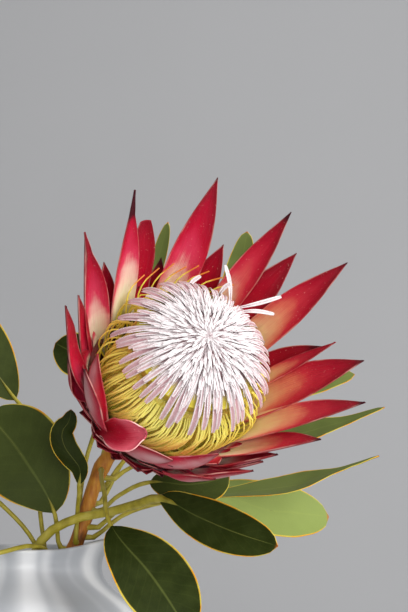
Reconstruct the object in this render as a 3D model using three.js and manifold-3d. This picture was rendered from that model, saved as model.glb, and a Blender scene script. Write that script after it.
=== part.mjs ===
// A king protea standing in its glazed vase: one cut stem with its leaves and one open flower head.
// Millimetres, +Z up. The origin is the centre of the vase's foot, on the surface it stands on.

import * as THREE from 'three';
import { mergeVertices } from 'three/addons/utils/BufferGeometryUtils.js';
import Module from 'manifold-3d';

const wasm = await Module();
wasm.setup();

// Driving dimensions
const GAP = 0.3;                  // air left between two pieces that touch
const VASE_HEIGHT = 200;
const VASE_WALL = 4;
const NECK_RADIUS = 38;
const RIM_RADIUS = 42;
const BELLY_RADIUS = 80;
const FOOT_RADIUS = 48;
const LIP_REACH = 15;             // how far the pouring lip stands out past the round rim
const LIP_RISE = 6;
const WATER_LEVEL = 128;
const STEM_RADIUS = 4.6;
const HEAD_BASE = new THREE.Vector3(68.5, -25.7, 270.6);
const HEAD_AXIS = new THREE.Vector3(0.381, -0.836, 0.395).normalize();
const HEAD_SIDE = new THREE.Vector3(0.780, 0.061, -0.623);    // where a bract's angle is counted from
const CUP_FLOOR = 25;             // heights in the head are counted from its base, along its axis
const CUP_RIM = 58;
const COLUMN_TOP = 95;            // the yellow column of styles that carries the crown
const CROWN_RADIUS = 47;          // the dome of white florets, out to the ends of the lowest ones
const CROWN_RIM = 90;
const CROWN_HEIGHT = 27;
const PETIOLE_RADIUS = 1.35;
const LEAF_THICKNESS = 1;
const BRACT_THICKNESS = 1.3;
const STYLE_RADIUS = 1;

// Every draw of chance comes from this one seeded source.
let seed = 4127;
function chance() {
  seed = (seed + 0x6d2b79f5) | 0;
  let t = Math.imul(seed ^ (seed >>> 15), 1 | seed);
  t = (t + Math.imul(t ^ (t >>> 7), 61 | t)) ^ t;
  return ((t ^ (t >>> 14)) >>> 0) / 4294967296;
}
const spread = (size) => (2 * chance() - 1) * size;
const radians = THREE.MathUtils.degToRad;
const { lerp, smoothstep } = THREE.MathUtils;
const vec = (x, y, z) => new THREE.Vector3(x, y, z);
const curveThrough = (points) =>
  new THREE.CatmullRomCurve3(points.map((p) => (p.isVector3 ? p : vec(...p))), false, 'centripetal');

// Solids

function solidOf(geometry) {
  const bare = geometry.clone();
  bare.deleteAttribute('normal');
  bare.deleteAttribute('uv');
  const merged = mergeVertices(bare, 1e-4);
  return new wasm.Manifold(new wasm.Mesh({
    numProp: 3,
    vertProperties: new Float32Array(merged.attributes.position.array),
    triVerts: new Uint32Array(merged.index.array),
  }));
}

function geometryOf(solid) {
  const mesh = solid.getMesh();
  const geometry = new THREE.BufferGeometry();
  geometry.setAttribute('position', new THREE.BufferAttribute(new Float32Array(mesh.vertProperties), 3));
  geometry.setIndex(new THREE.BufferAttribute(new Uint32Array(mesh.triVerts), 1));
  geometry.computeVertexNormals();
  return geometry;
}

// Joins pieces and keeps the body they make: a pocket that the joining seals is filled,
// and a loose scrap is dropped.
function fuse(geometries) {
  const joined = geometries.map(solidOf).reduce((all, next) => all.add(next));
  return joined.decompose().reduce((best, next) => (next.volume() > best.volume() ? next : best));
}

// A closed ribbon, blade or stick. Each station holds its centre, the unit vectors across it and
// out of its upper face, half its width, its thickness, and how far its edges rise above its middle.
// Both faces are split into triangles alike.
function blade(stations, columns) {
  const points = [];
  const faces = [];
  const count = columns.length;
  for (const { centre, across, up, half, thick, rise } of stations) {
    for (const side of [1, -1]) {
      for (const u of columns) {
        const lift = rise * u * u + side * thick * (0.5 - 0.18 * Math.abs(u));
        points.push(centre.clone().addScaledVector(across, u * half).addScaledVector(up, lift));
      }
    }
  }
  const quad = (a, b, c, d) => faces.push(a, b, c, a, c, d);
  for (let i = 0; i + 1 < stations.length; i++) {
    const top = 2 * count * i;
    const next = top + 2 * count;
    for (let k = 0; k + 1 < count; k++) {
      quad(top + k, top + k + 1, next + k + 1, next + k);
      faces.push(top + count + k, next + count + k + 1, top + count + k + 1);
      faces.push(top + count + k, next + count + k, next + count + k + 1);
    }
    quad(top + count, top, next, next + count);
    quad(top + count - 1, top + 2 * count - 1, next + 2 * count - 1, next + count - 1);
  }
  const last = 2 * count * (stations.length - 1);
  for (let k = 0; k + 1 < count; k++) {
    quad(k + 1, k, count + k, count + k + 1);
    quad(last + k, last + k + 1, last + count + k + 1, last + count + k);
  }
  return closedGeometry(points, faces);
}

// Turns the faces over where they came out pointing inwards.
function closedGeometry(points, faces) {
  let volume = 0;
  for (let i = 0; i < faces.length; i += 3) {
    volume += points[faces[i]].dot(points[faces[i + 1]].clone().cross(points[faces[i + 2]]));
  }
  if (volume < 0) faces.reverse();
  const geometry = new THREE.BufferGeometry().setFromPoints(points);
  geometry.setIndex(faces);
  geometry.computeVertexNormals();
  return geometry;
}

// Stations along a curve, with the upper face turned towards the given direction. Up to `neck` the
// section is round, and there each station only follows the next one, so that none is twisted.
function stationsAlong(curve, steps, towards, measure, neck = 0) {
  let facing = towards;
  return steps.toReversed().map((t) => {
    const along = curve.getTangentAt(t);
    const up = facing.clone().addScaledVector(along, -facing.dot(along)).normalize();
    if (t <= neck) facing = up;
    return { centre: curve.getPointAt(t), up, across: along.clone().cross(up), ...measure(t) };
  }).reverse();
}

// A stick with a round section, thinner or thicker along its way.
function stick(points, radiusAt, sides, steps) {
  const curve = curveThrough(points);
  const frames = curve.computeFrenetFrames(steps, false);
  const rings = [];
  const faces = [];
  for (let i = 0; i <= steps; i++) {
    const centre = curve.getPointAt(i / steps);
    for (let k = 0; k < sides; k++) {
      const turn = (2 * Math.PI * k) / sides;
      rings.push(centre.clone()
        .addScaledVector(frames.normals[i], Math.cos(turn) * radiusAt(i / steps))
        .addScaledVector(frames.binormals[i], Math.sin(turn) * radiusAt(i / steps)));
    }
  }
  for (let i = 0; i < steps; i++) {
    for (let k = 0; k < sides; k++) {
      const a = i * sides + k;
      const b = i * sides + ((k + 1) % sides);
      faces.push(a, b, b + sides, a, b + sides, a + sides);
    }
  }
  for (let k = 1; k + 1 < sides; k++) {
    faces.push(0, k + 1, k);
    faces.push(steps * sides, steps * sides + k, steps * sides + k + 1);
  }
  return closedGeometry(rings, faces);
}

// Scene

const flower = new THREE.Group();
const finishes = {
  glaze: { color: 0xd7dade, roughness: 0.2, metalness: 0 },
  water: { color: 0xa9b8b4, roughness: 0.05, metalness: 0, transparent: true, opacity: 0.5 },
  bark: { color: 0x96641e, roughness: 0.7, metalness: 0 },
  leaf: { color: 0x2d3c0f, roughness: 0.45, metalness: 0 },
  bract: { color: 0xc81432, roughness: 0.55, metalness: 0 },
  style: { color: 0xc8b432, roughness: 0.5, metalness: 0 },
  floret: { color: 0xe6dfe2, roughness: 0.9, metalness: 0 },
};

function place(name, geometry, finish, parent = flower) {
  const mesh = new THREE.Mesh(geometry, new THREE.MeshStandardMaterial(finishes[finish]));
  mesh.name = name;
  parent.add(mesh);
  return mesh;
}

// Vase: a wide, high-shouldered body that narrows to a short neck, with a pouring lip on its +X side.

const VASE_SIDES = 28;
const LIP_HALF_ANGLE = radians(48);
const LIP_START = VASE_HEIGHT - 16;
const FLOOR = 12;
const vaseOutside = [
  [FOOT_RADIUS, 0], [FOOT_RADIUS + 4, 4], [67, 32], [77, 66], [BELLY_RADIUS, 105], [BELLY_RADIUS, 138],
  [76, 158], [67, 168], [54, 175.5], [NECK_RADIUS + 4, 182], [NECK_RADIUS, 190],
  [RIM_RADIUS - 1, 196], [RIM_RADIUS, VASE_HEIGHT - 1],
];
const vaseInside = [
  [RIM_RADIUS - VASE_WALL + 1, VASE_HEIGHT], [NECK_RADIUS - VASE_WALL, 190],
  [NECK_RADIUS - VASE_WALL + 2, 182], [50, 172.5], [63, 164.5], [71.5, 155],
  [BELLY_RADIUS - VASE_WALL, 137], [BELLY_RADIUS - VASE_WALL, 105], [73, 67], [62.5, 33],
  [FOOT_RADIUS - 1, FLOOR],
];

function pullLip(geometry) {
  const position = geometry.attributes.position;
  for (let i = 0; i < position.count; i++) {
    const x = position.getX(i);
    const y = position.getY(i);
    const z = position.getZ(i);
    const radius = Math.hypot(x, y);
    const angle = Math.abs(Math.atan2(y, x));
    if (z <= LIP_START || radius < 1 || angle >= LIP_HALF_ANGLE) continue;
    const fade = Math.cos((angle / LIP_HALF_ANGLE) * (Math.PI / 2)) ** 1.5;
    const rise = smoothstep(z, LIP_START, VASE_HEIGHT) ** 1.3 * fade;
    const grown = (radius + LIP_REACH * rise) / radius;
    position.setXYZ(i, x * grown, y * grown, z + LIP_RISE * rise);
  }
  geometry.computeVertexNormals();
  return geometry;
}

// A lathe turns about Y and is stood up on Z.
const turned = (profile, sides = VASE_SIDES) => new THREE.LatheGeometry(
  profile.map(([r, z]) => new THREE.Vector2(r, z)), sides,
).rotateX(Math.PI / 2);

const vaseBody = turned([[0, 0], ...vaseOutside, ...vaseInside, [0, FLOOR]]);
place('vase', geometryOf(solidOf(pullLip(vaseBody))), 'glaze');

// Stem: it leans across the vase, rests by the lip and bends over into the head.

const headPoint = (s, radius, angle) => {
  const second = new THREE.Vector3().crossVectors(HEAD_AXIS, HEAD_SIDE);
  return HEAD_BASE.clone()
    .addScaledVector(HEAD_AXIS, s)
    .addScaledVector(HEAD_SIDE, radius * Math.cos(angle))
    .addScaledVector(second, radius * Math.sin(angle));
};
const stemPath = [
  [-22, 3, FLOOR + 2.2], [4, 0, 100], [20, -2, 158], [28, -3, 188], [33.5, -3, 201], [39.3, -2, 219],
  [43.5, -0.5, 234], [49, 1, 248], [56, -1.5, 258],
  headPoint(-9, 0, 0), headPoint(-GAP, 0, 0),
];
const stemCurve = curveThrough(stemPath);
const stemSwell = (t) => STEM_RADIUS + 0.9 * Math.exp(-(((t - 0.655) / 0.018) ** 2))
  + 0.8 * Math.exp(-(((t - 0.845) / 0.02) ** 2)) + 1.6 * smoothstep(t, 0.93, 1);
place('stem', stick(stemPath, stemSwell, 8, 22), 'bark');

// A place on the stem's skin at a height, looking along the given direction.
function onStem(height, direction) {
  let t = 0;
  while (stemCurve.getPointAt(t).z < height) t += 0.001;
  const along = stemCurve.getTangentAt(t);
  const out = vec(...direction);
  out.addScaledVector(along, -out.dot(along)).normalize();
  return { skin: stemCurve.getPointAt(t).addScaledVector(out, stemSwell(t) + 1.3 * GAP), out };
}

// Water: it fills the vase to its level and leaves a plain hole for the stem.

const waterProfile = [[0, FLOOR + GAP]];
for (const [r, z] of [...vaseInside].reverse()) {
  if (z < WATER_LEVEL) waterProfile.push([r - GAP, Math.max(z, FLOOR + GAP)]);
}
waterProfile.push([BELLY_RADIUS - VASE_WALL - GAP, WATER_LEVEL], [0, WATER_LEVEL]);
const STEM_ROOM = 0.7;
const wetStem = [[-23.5, 3.1, FLOOR - 3], ...stemPath.slice(0, 4)];
const stemRoom = stick(wetStem, () => STEM_RADIUS + STEM_ROOM, 8, 8);
place('water', geometryOf(solidOf(turned(waterProfile)).subtract(solidOf(stemRoom))), 'water');

// Leaves: a long petiole that widens into one leathery blade, in one piece. A leaf is listed by the
// height of its root on the stem, the way it leaves, the width of its blade and the side that its
// upper face looks to, then the points of its petiole, and of its midrib from the blade's base to its
// tip. Curl lifts both margins. Thick makes a petiole stouter than the others.

const leaves = [
  { root: 165, leave: [-0.5, -0.8, 0.3], width: 26, face: [-0.45, -0.8, 0.15], curl: 2, thick: 2.1,
    petiole: [[9, -12, 186], [14, -16, 204], [31, -20, 216], [57, -25, 222], [74, -42, 227]],
    midrib: [[86, -58, 230], [108, -78, 220], [128, -94, 212], [151, -106, 205]] },
  { root: 246, leave: [0.1, -1, -0.1], width: 41, face: [0.1, -0.97, 0.3], curl: 2.5,
    petiole: [[50, -22, 243], [53, -44, 234]],
    midrib: [[59, -70, 214], [82.5, -85.5, 187], [103, -96.5, 158]] },
  { root: 223, leave: [0.9, -0.4, 0.3], width: 32, face: [0.1, -0.8, 0.6], curl: 2,
    petiole: [[60, -15, 231]],
    midrib: [[79, -27, 239], [103, -31, 237], [126, -28, 242]] },
  { root: 213, leave: [0.9, -0.2, 0.3], width: 36, face: [-0.15, -0.28, 0.95], curl: 2.5, taper: 0.8,
    petiole: [[61, -9, 223], [85, -8, 227]],
    midrib: [[108, -8, 230], [160, -18, 236], [214, -31, 254]] },
  { root: 207, leave: [0.8, 0.5, 0.2], width: 42, face: [0.1, -0.8, 0.6], curl: 2,
    petiole: [[62, 7, 219], [88, 18, 227]],
    midrib: [[112, 27, 231], [152, 42, 221], [190, 53, 217]] },
  { root: 243, leave: [0.9, 0.4, 0], width: 26, face: [0.05, -0.5, 0.86], curl: 2, taper: 0.65,
    petiole: [[66, 10, 248], [96, 16, 256]],
    midrib: [[124, 19, 262], [172, 18, 268], [222, 12, 284.5]] },
  { root: 235, leave: [0.5, 0.85, 0], width: 22, face: [0, -0.7, 0.7], curl: 2,
    petiole: [[64, 14, 254], [96, 26, 272]],
    midrib: [[126, 34, 285], [166, 38, 296], [206, 37, 306]] },
  { root: 231, leave: [0, 1, 0], width: 9, face: [0.1, -0.97, -0.1], curl: 1,
    petiole: [[50, 24, 262], [60, 38, 300]],
    midrib: [[72, 38, 344], [81, 30, 375], [88.5, 15, 400]] },
  { root: 226, leave: [0.6, 0.75, 0], width: 18, face: [-0.1, -0.97, -0.1], curl: 2,
    petiole: [[61, 24, 252], [84, 42, 287]],
    midrib: [[118, 51, 335], [134, 48, 375], [138.5, 41, 398]] },
  { root: 222, leave: [-0.5, 0.85, 0], width: 27, face: [-0.2, -0.95, 0.1], curl: 2,
    petiole: [[38, 14, 250], [44, 18, 272], [49, 15, 291]],
    midrib: [[46, 14, 304], [35, 12, 315], [19.5, 8, 324]] },
  { root: 184, leave: [-0.9, 0.2, 0.5], width: 37, face: [0.35, -0.93, 0.1], curl: 2.5,
    petiole: [[14, 0, 206], [9, 9, 250], [6, 14, 276]],
    midrib: [[-6, 18, 290], [-27, 20, 320], [-46, 20, 352]] },
  { root: 197, leave: [-0.95, -0.2, 0.3], width: 54, face: [-0.15, -0.95, 0.28], curl: 2,
    petiole: [[23, -7, 209]],
    midrib: [[21.5, -12, 221], [4, -14, 252], [-20, -5, 281]] },
  { root: 203, leave: [0, -1, 0], width: 14, face: [0.1, -0.98, 0.15], curl: 1.5,
    petiole: [[35, -12.5, 214], [36, -19, 224], [37.6, -30, 233]],
    midrib: [[38, -37, 238], [39, -41.5, 242.5], [38.5, -45, 248], [34.5, -47.5, 253.5], [30, -49, 260.5],
      [29, -50, 268], [33, -50.5, 274.5], [34, -50, 281]] },
  { root: 180, leave: [-0.8, -0.3, 0.6], width: 42, face: [-0.3, -0.4, 0.86], curl: 2,
    petiole: [[8, -6, 205], [-11, -8, 226]],
    midrib: [[-32, -12, 243], [-66, -18, 264], [-98, -20, 272]] },
  { root: 184, leave: [-0.3, -0.95, 0], width: 40, face: [-0.2, -0.5, 0.84], curl: 2,
    petiole: [[20, -18, 196], [11, -40, 202.4], [-6, -53, 199]],
    midrib: [[-22, -62, 196], [-52, -84, 184], [-80, -104, 160]] },
];

const PETIOLE_FOOT = 3;           // how far a petiole runs straight out of the stem
const PETIOLE_STEPS = [0, 0.25, 0.5, 0.75];
const BLADE_STEPS = [0, 0.17, 0.32, 0.46, 0.6, 0.73, 0.87, 1];
// Half widths along the blade, from its base to its blunt tip, for a full half width of 1.
const leafOutline = curveThrough([
  [0, 0.05, 0], [0.06, 0.3, 0], [0.18, 0.66, 0], [0.36, 0.93, 0], [0.56, 1, 0], [0.74, 0.88, 0],
  [0.88, 0.63, 0], [0.96, 0.32, 0], [1, 0.05, 0],
]);

// A tapered leaf thins out over its outer half.
function leafBlade({ root, leave, petiole, midrib, width, face, curl, thick = 1, taper = 0 }) {
  const { skin, out } = onStem(root, leave);
  const foot = skin.clone().addScaledVector(out, PETIOLE_FOOT);
  const path = curveThrough([skin, foot, ...petiole, ...midrib]);
  const petioleLength = curveThrough([skin, foot, ...petiole, midrib[0]]).getLength();
  const bladeStart = petioleLength / path.getLength();
  const steps = [
    ...PETIOLE_STEPS.map((u) => u * bladeStart),
    ...BLADE_STEPS.map((u) => lerp(bladeStart, 1, u)),
  ];
  const measure = (t) => {
    const u = Math.max(0, (t - bladeStart) / (1 - bladeStart));
    const rib = PETIOLE_RADIUS * thick * (1 - 0.75 * smoothstep(u, 0, 0.9));
    const share = leafOutline.getPoint(u).y * (1 - taper * smoothstep(u, 0.5, 0.85));
    const half = t < bladeStart ? rib : Math.max(rib, share * width * 0.5);
    const flat = smoothstep(half, rib, rib * 3);
    return { half, thick: lerp(2 * rib, LEAF_THICKNESS, flat), rise: curl * flat * share };
  };
  return blade(stationsAlong(path, steps, vec(...face), measure, bladeStart), [-1, 0, 1]);
}

leaves.forEach((leaf, i) => place(`leaf_${i + 1}`, leafBlade(leaf), 'leaf'));

// Flower head, in a group whose own Z is the head's axis and whose X is where angles are counted from.

const head = new THREE.Group();
head.position.copy(HEAD_BASE);
head.quaternion.setFromRotationMatrix(new THREE.Matrix4().makeBasis(
  HEAD_SIDE.clone().addScaledVector(HEAD_AXIS, -HEAD_SIDE.dot(HEAD_AXIS)).normalize(),
  new THREE.Vector3().crossVectors(HEAD_AXIS, HEAD_SIDE).normalize(),
  HEAD_AXIS,
));
flower.add(head);

const polar = (radius, s, angle) => vec(radius * Math.cos(angle), radius * Math.sin(angle), s);

// The cup that carries everything: [radius, height].
const CUP_SIDES = 20;
const BRACT_FLARE = 0.385;        // how far the bracts lean outwards for each millimetre of height
const cupOutside = [[6.5, 0], [12, 4], [22, 11], [33, 23], [41, 37], [46, 50], [47.5, CUP_RIM]];
const cupInside = [[45, CUP_RIM], [43, 50], [37, 38], [28, 29], [16, CUP_FLOOR]];
const cupRadius = (s) => {
  const next = cupOutside.findIndex(([, z]) => z >= s);
  if (next === 0) return cupOutside[0][0];
  if (next < 0) return cupOutside.at(-1)[0] + (s - CUP_RIM) * BRACT_FLARE;
  const [[r0, z0], [r1, z1]] = [cupOutside[next - 1], cupOutside[next]];
  return lerp(r0, r1, (s - z0) / (z1 - z0));
};

// Bracts. Each long one is listed by its angle about the head, the height and the row of its tip, its
// width, how far the tip leans in over the florets, how far round the head it leans, how far its face is
// turned round the head, and the share of its length that is a withered tail. Where that share is less
// than 0, the tip is blunt.
const longBracts = [
  [127, 147, 0, 22], [163, 146, 0, 18, 0, 0, 0, 0.08], [153, 118, 1, 21, 0, 0, 0, -0.12],
  [186, 149, 0, 16, -2, 8, -30, 0.1], [192, 140, 1, 17], [220, 138, 2.5, 13, 0, 0, -22],
  [203, 113, 1, 13, 0, 0, -8], [220, 82, 3, 18, 0, 0, -15], [245, 95, 0, 23, 8, -22],
  [247, 126, 2, 22, 0, -6, -5], [276, 88, 1, 22, 2, 19],
  [297, 102, 1, 22, 8, 17], [322, 91, 3, 20, 0, 12], [341, 84, 3, 18, 0, 4],
  [338, 99, 2, 19, 0, 7], [348, 132, 1, 22], [4, 151, 0, 22], [26, 141, 0, 26], [39, 126, -1, 9],
  [54, 113, 1, 12, 0, -12], [66, 148, 0, 20], [83, 126, 1, 20], [95, 145, 0, 17], [111, 106, 1, 19],
  [50, 88, 2, 19], [172, 98, 2, 18], [12, 104, 2, 19], [308, 88, 3, 19, 0, 8], [138, 90, 1, 15],
];
const ROW_STEP = 3;               // each row lies this far outside the one within it
const TIP_THICKNESS = 0.9;
const ROOT_HEIGHT = 42;
const BRACT_STEPS = [0, 0.3, 0.58, 0.8, 1];
const bractReach = (s, row) => 49.3 + BRACT_FLARE * (s - CUP_RIM) + ROW_STEP * row;

// Half width along a bract for a full half width of 1: broad from the base, then a long point, which
// may end in a thin tail.
const bractOutline = (t, tail) => lerp(0.72, 1, smoothstep(t, 0, 0.35)) * Math.max(
  tail > 0 ? 0.22 : 0.04, Math.sin(Math.min(1, Math.max(0, 1 - tail - t) / 0.5) * (Math.PI / 2)),
);

function longBract([angle, tipHeight, row, width, lean = 0, sway = 0, turn = 0, tail = 0]) {
  const foot = radians(angle);
  const tip = radians(angle + sway);
  const mid = lerp(ROOT_HEIGHT, tipHeight, 0.42);
  const high = lerp(ROOT_HEIGHT, tipHeight, 0.75);
  const path = curveThrough([
    polar(cupRadius(ROOT_HEIGHT) - 1.2, ROOT_HEIGHT, foot),
    polar(bractReach(mid, row) - 0.5, mid, lerp(foot, tip, 0.3)),
    polar(bractReach(high, row) - 0.35 * lean, high, lerp(foot, tip, 0.65)),
    polar(bractReach(tipHeight, row) - lean, tipHeight, tip),
  ]);
  const inward = polar(-1, 0.15, lerp(foot, tip, 0.4) + radians(turn));
  const measure = (t) => {
    const half = bractOutline(t, tail) * width * 0.5;
    return { half, thick: lerp(BRACT_THICKNESS, TIP_THICKNESS, t), rise: half * 0.25 };
  };
  return blade(stationsAlong(path, BRACT_STEPS, inward, measure), [-1, 0, 1]);
}

// One bract has curled round like a spoon: radius, height and angle of its points.
const spoonPoints = [[44, 42, 250], [49, 58, 258], [52, 72, 268], [51, 84, 277]];
const SPOON_WIDTH = 17;
const SPOON_STEPS = [0, 0.25, 0.5, 0.76, 0.9, 1];

function spoonBract() {
  const path = curveThrough(spoonPoints.map(([radius, s, angle]) => polar(radius, s, radians(angle))));
  const hollow = polar(0.56, 0.83, radians(270));
  const measure = (t) => {
    const blunt = Math.sqrt(Math.max(0.2, Math.cos((Math.max(0, t - 0.82) / 0.18) * (Math.PI / 2))));
    const half = lerp(0.4, 1, smoothstep(t, 0.2, 0.7)) * blunt * SPOON_WIDTH * 0.5;
    return { half, thick: BRACT_THICKNESS, rise: half * 0.4 };
  };
  return blade(stationsAlong(path, SPOON_STEPS, hollow, measure), [-1, 0, 1]);
}

// Short scales that clothe the outside of the cup: a flat tile each, with its tip standing off.
const SCALE_LENGTH = 21;
const LOW_STAND_OFF = 6.5;        // how far the tips of the lower scales stand off the cup
const HIGH_STAND_OFF = 3.4;       // how far those of the highest ones do

function scale(angle, tipHeight, width) {
  const root = tipHeight - SCALE_LENGTH;
  const standOff = lerp(LOW_STAND_OFF, HIGH_STAND_OFF, smoothstep(tipHeight, 50, 70));
  const path = curveThrough([
    polar(cupRadius(root) - 1, root, angle),
    polar(cupRadius(tipHeight - 9) + 0.45 * standOff, tipHeight - 9, angle),
    polar(cupRadius(tipHeight) + standOff, tipHeight, angle),
  ]);
  const outline = (t) => (t < 0.6 ? 1 : lerp(1, 0.12, (t - 0.6) / 0.4)) * width * 0.5;
  const measure = (t) => ({ half: outline(t), thick: BRACT_THICKNESS, rise: 0 });
  return blade(stationsAlong(path, [0, 0.6, 1], polar(-1, 0.1, angle), measure), [-1, 1]);
}

const scaleRows = [
  { count: 12, tip: 73, width: 20 },
  { count: 12, tip: 57, width: 20 },
  { count: 10, tip: 41, width: 19 },
  { count: 8, tip: 26, width: 15 },
];

const cup = turned([[0, 0], ...cupOutside, ...cupInside, [0, CUP_FLOOR]], CUP_SIDES);
const bractPieces = [cup, ...longBracts.map(longBract), spoonBract()];
scaleRows.forEach(({ count, tip, width }, ring) => {
  for (let i = 0; i < count; i++) {
    const angle = (2 * Math.PI * (i + 0.5 * (ring % 2))) / count + spread(0.05);
    bractPieces.push(scale(angle, tip + spread(2), width));
  }
});
place('bracts', geometryOf(fuse(bractPieces)), 'bract', head);

// Styles: the yellow column inside the cup, with the bowed styles round it.

const columnProfile = [
  [0, CUP_FLOOR + GAP], [15.8, CUP_FLOOR + GAP], [27.6, 29.5], [36.6, 38.4], [38.5, 46], [37, 60],
  [36.5, 78], [36, COLUMN_TOP], [0, COLUMN_TOP],
];
const BOWED_STYLES = 36;
const stylePieces = [turned(columnProfile, CUP_SIDES)];
for (let i = 0; i < BOWED_STYLES; i++) {
  const angle = (2 * Math.PI * i) / BOWED_STYLES + spread(0.02);
  const out = 45 + chance() * 2.4;
  stylePieces.push(stick([
    polar(37, 50 + spread(2), angle),
    polar(42.3, 61, angle),
    polar(out, 73 + spread(2), angle + spread(0.03)),
    polar(out - 2.5, 83.5, angle + spread(0.03)),
    polar(35.5, 89.5, angle),
  ], () => STYLE_RADIUS, 3, 5));
}

// Styles that have come loose at their outer end: [angle, radius, height] of that end.
const looseStyles = [
  [106, 58, 99], [118, 60, 101], [128, 59, 99], [137, 61, 102], [147, 60, 98], [160, 58, 95],
];
for (const [angle, radius, height] of looseStyles) {
  stylePieces.push(stick([
    polar(36, 62, radians(angle)),
    polar(44, 73, radians(angle)),
    polar(52, 88, radians(angle)),
    polar(radius - 2, height, radians(angle - 3)),
  ], () => STYLE_RADIUS, 3, 4));
}
place('styles', geometryOf(fuse(stylePieces)), 'style', head);

// Crown: the white florets. Ribbons run from the top of the dome out past its rim, where each stands
// free as a blunt finger. Between two of them, higher on the dome, lies the end of a shorter ribbon.

const FINGERS = 36;
const FINGER_STEP = (2 * Math.PI) / FINGERS;
const INNER_END = 36;             // the radius at which the shorter ribbons end
const DOME_RADIUS = 41;           // the radius at which a finger leaves the dome
const FINGER_ROOT = 98;           // the height at which it does
const RELIEF = 0.9;               // how far the shorter ribbons stand out of the dome
const CLEFT = 1.9;                // depth of the gap between two fingers
const domeHeight = (radius) => {
  const inwards = 1 - (radius / (CROWN_RADIUS + 0.4)) ** 2;
  return CROWN_RIM + CROWN_HEIGHT * inwards ** 0.62;
};

function crownDome() {
  const points = [polar(0, domeHeight(0), 0)];
  const faces = [];
  const fingers = Array.from({ length: FINGERS }, () => ({ lean: spread(0.018), longer: spread(1.2) }));

  // One ring of the dome: two points on each finger's ribbon, then one between it and the next.
  function ring(radius, height, betweenRadius, betweenHeight, share, looseness) {
    fingers.forEach(({ lean, longer }, i) => {
      const turn = i * FINGER_STEP + lean;
      const more = looseness * longer;
      points.push(polar(radius + 0.5 * more, height - more, turn - share * FINGER_STEP));
      points.push(polar(radius + 0.5 * more, height - more, turn + share * FINGER_STEP));
      points.push(polar(betweenRadius, betweenHeight, turn + FINGER_STEP / 2));
    });
  }

  for (const radius of [5, 13, 22, 30, INNER_END, 39, DOME_RADIUS]) {
    const height = domeHeight(radius);
    const share = lerp(0.3, 0.24, radius / CROWN_RADIUS);
    const relief = RELIEF * smoothstep(radius, 0, 13);
    if (radius > INNER_END) ring(radius, height + 0.3, radius, height - CLEFT, share, 0);
    else ring(radius, height - relief, radius, height + relief, share, 0);
  }
  // The ends of the fingers, their undersides, and the rim under the dome.
  const underside = COLUMN_TOP + GAP;
  ring(CROWN_RADIUS, CROWN_RIM + 0.6, DOME_RADIUS - 0.3, FINGER_ROOT, 0.24, 1);
  ring(CROWN_RADIUS - 1.6, CROWN_RIM - 0.3, DOME_RADIUS - 0.8, FINGER_ROOT - 0.4, 0.24, 1);
  ring(DOME_RADIUS - 1.4, FINGER_ROOT - 0.8, DOME_RADIUS - 1.4, FINGER_ROOT - 0.8, 0.24, 0);
  ring(DOME_RADIUS - 3, underside, DOME_RADIUS - 3, underside, 0.24, 0);
  points.push(polar(0, underside, 0));

  const columns = 3 * FINGERS;
  const ringCount = (points.length - 2) / columns;
  const lowest = 1 + (ringCount - 1) * columns;
  for (let k = 0; k < columns; k++) {
    const next = (k + 1) % columns;
    faces.push(0, 1 + k, 1 + next);
    for (let here = 1; here < lowest; here += columns) {
      const below = here + columns;
      faces.push(here + k, below + k, below + next, here + k, below + next, here + next);
    }
    faces.push(points.length - 1, lowest + next, lowest + k);
  }
  return closedGeometry(points, faces);
}

const crownPieces = [crownDome()];

// Florets that have sprung away from the dome: radius, height and angle of the root, middle and end.
const looseFlorets = [
  [[37, 99, 90], [47, 107, 101], [53.5, 112, 109]], [[37, 96, 131], [44, 101, 126], [46.5, 104.5, 121.5]],
  [[36, 100, 89], [48.5, 109, 77], [58.5, 115, 72]], [[37, 99, 84], [45.5, 106, 74], [52, 109, 66]],
  [[37, 99, 104], [44, 106, 103], [46, 109, 101]],
];
for (const points of looseFlorets) {
  const path = points.map(([radius, s, angle]) => polar(radius, s, radians(angle)));
  crownPieces.push(stick(path, (t) => 1.1 + 0.3 * t, 4, 3));
}
place('crown', geometryOf(fuse(crownPieces)), 'floret', head);

export default flower;
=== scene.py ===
# %% [markdown]
# # A king protea in its vase
# One cut king protea stands in a white glazed vase. The solids of the frame fix the place and the size
# of each piece. This lesson replaces their faceted shapes with finished ones and gives each its surface.
# The frame is in metres. Points and sizes below are in millimetres, because a flower is small, and are
# turned into metres where a piece is made.

# %% Load the frame
import math
import random

import bmesh
import bpy
from mathutils import Matrix, Vector


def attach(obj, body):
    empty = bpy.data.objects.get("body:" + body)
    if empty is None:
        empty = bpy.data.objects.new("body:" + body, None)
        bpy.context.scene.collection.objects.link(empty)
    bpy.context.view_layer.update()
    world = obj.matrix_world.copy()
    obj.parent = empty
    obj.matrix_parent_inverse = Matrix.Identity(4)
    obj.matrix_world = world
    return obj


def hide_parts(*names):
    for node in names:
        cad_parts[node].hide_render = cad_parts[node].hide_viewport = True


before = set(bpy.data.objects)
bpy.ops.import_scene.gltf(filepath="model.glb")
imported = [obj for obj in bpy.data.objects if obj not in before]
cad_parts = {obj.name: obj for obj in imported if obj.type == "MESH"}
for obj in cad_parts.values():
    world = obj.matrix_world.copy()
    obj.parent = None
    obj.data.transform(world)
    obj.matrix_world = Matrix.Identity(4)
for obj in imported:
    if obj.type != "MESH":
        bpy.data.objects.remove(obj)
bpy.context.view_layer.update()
MM = 0.001
rng = random.Random(4127)

# %% [markdown]
# ## Camera
# The flower was seen from just below the level of its head, a metre away, through a long lens that
# keeps its shape free of distortion. The camera comes first, because every later choice is judged by it.

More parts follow.
